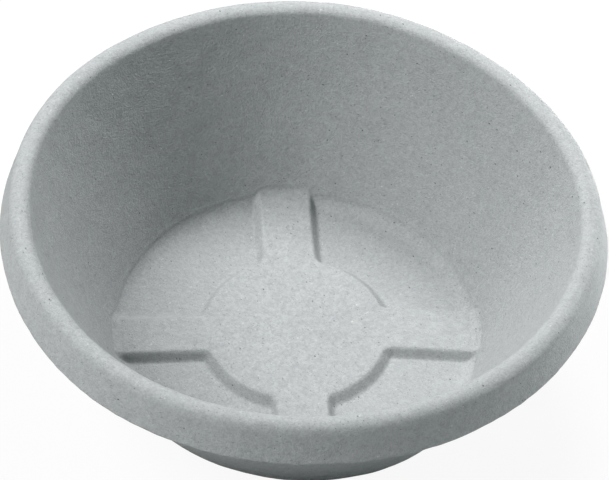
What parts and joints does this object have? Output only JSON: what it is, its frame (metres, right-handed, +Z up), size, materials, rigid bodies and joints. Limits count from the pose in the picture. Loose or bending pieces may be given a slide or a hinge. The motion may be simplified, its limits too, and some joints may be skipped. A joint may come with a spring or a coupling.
{
  "type": "wash bowl",
  "caption": "Round single-use wash bowl of grey moulded pulp, with a rolled rim, a conical wall and a raised disc and cross on its floor",
  "frame": {"origin": "middle of the circle that the bowl stands on, on the bowl's own axis", "axes": "+Z up along the bowl's axis; +X to the right and +Y away from the front; the arms of the cross on the floor are turned 3.5 to 7 degrees from X and Y"},
  "size_m": [0.315, 0.315, 0.1125],
  "materials": {
    "pulp": "matt grey newsprint pulp, felted, with flecks of ink and short fibres"
  },
  "bodies": {
    "root": {"rim_inner_curl": "pulp", "rim_outer_curl": "pulp", "rim_skirt": "pulp", "side_wall": "pulp", "foot_ring": "pulp", "raised_cross": "pulp", "floor_segment_1": "pulp", "floor_segment_2": "pulp", "floor_segment_3": "pulp", "floor_segment_4": "pulp"}
  },
  "joints": []
}
